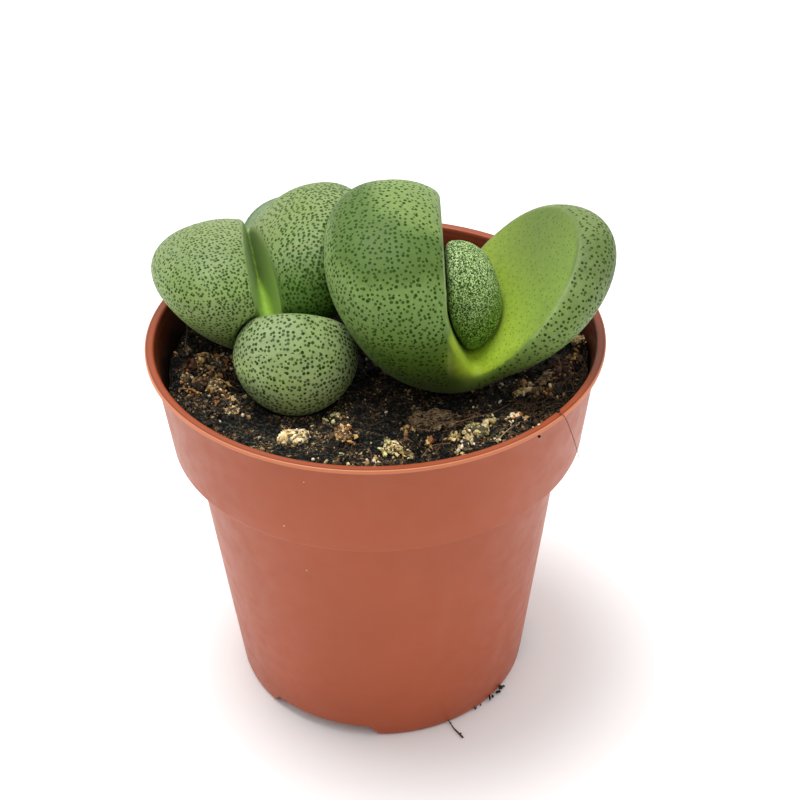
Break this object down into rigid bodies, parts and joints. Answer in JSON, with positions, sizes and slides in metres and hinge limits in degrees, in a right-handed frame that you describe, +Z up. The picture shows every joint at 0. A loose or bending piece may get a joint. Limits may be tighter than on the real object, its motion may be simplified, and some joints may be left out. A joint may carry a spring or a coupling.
{
  "type": "potted split rock succulent",
  "caption": "Living-stone succulent with cleft pairs of thick dotted leaves, growing in dark soil in a tapered plastic nursery pot with a flanged rim and a notched foot.",
  "frame": {"origin": "centre of the pot's foot ring, at the level that it stands on", "axes": "+Z up along the pot's axis, -Y towards the viewer of the reference view, +X to that viewer's right"},
  "size_m": [0.085, 0.085, 0.1054],
  "materials": {
    "terracotta_plastic": "moulded, satin, lightly scuffed",
    "potting_soil": "loose dark peat with crumbs, fibres and grit",
    "mineral": "rough mineral lump",
    "bark": "torn composted bark",
    "root": "corky skin",
    "old_leaf": "waxy grey-green skin with dark dots",
    "young_leaf": "waxy green skin with dense dark dots",
    "pale_leaf": "waxy pale green skin with dark dots"
  },
  "bodies": {
    "root": {"pot": "terracotta_plastic", "soil": "potting_soil", "mineral_lump_cream": "mineral", "mineral_lump_front": "mineral", "mineral_lump_golden_1": "mineral", "mineral_lump_golden_2": "mineral", "mineral_lump_left_1": "mineral", "mineral_lump_left_2": "mineral", "mineral_lump_left_3": "mineral", "mineral_lump_left_4": "mineral", "mineral_lump_right": "mineral", "bark_flake_middle": "bark", "bark_flake_right": "bark", "rootstock": "root", "right_head_outer_pair": "old_leaf", "right_head_inner_pair": "young_leaf", "left_head_outer_pair": "pale_leaf", "left_head_inner_pair": "old_leaf"}
  },
  "joints": []
}
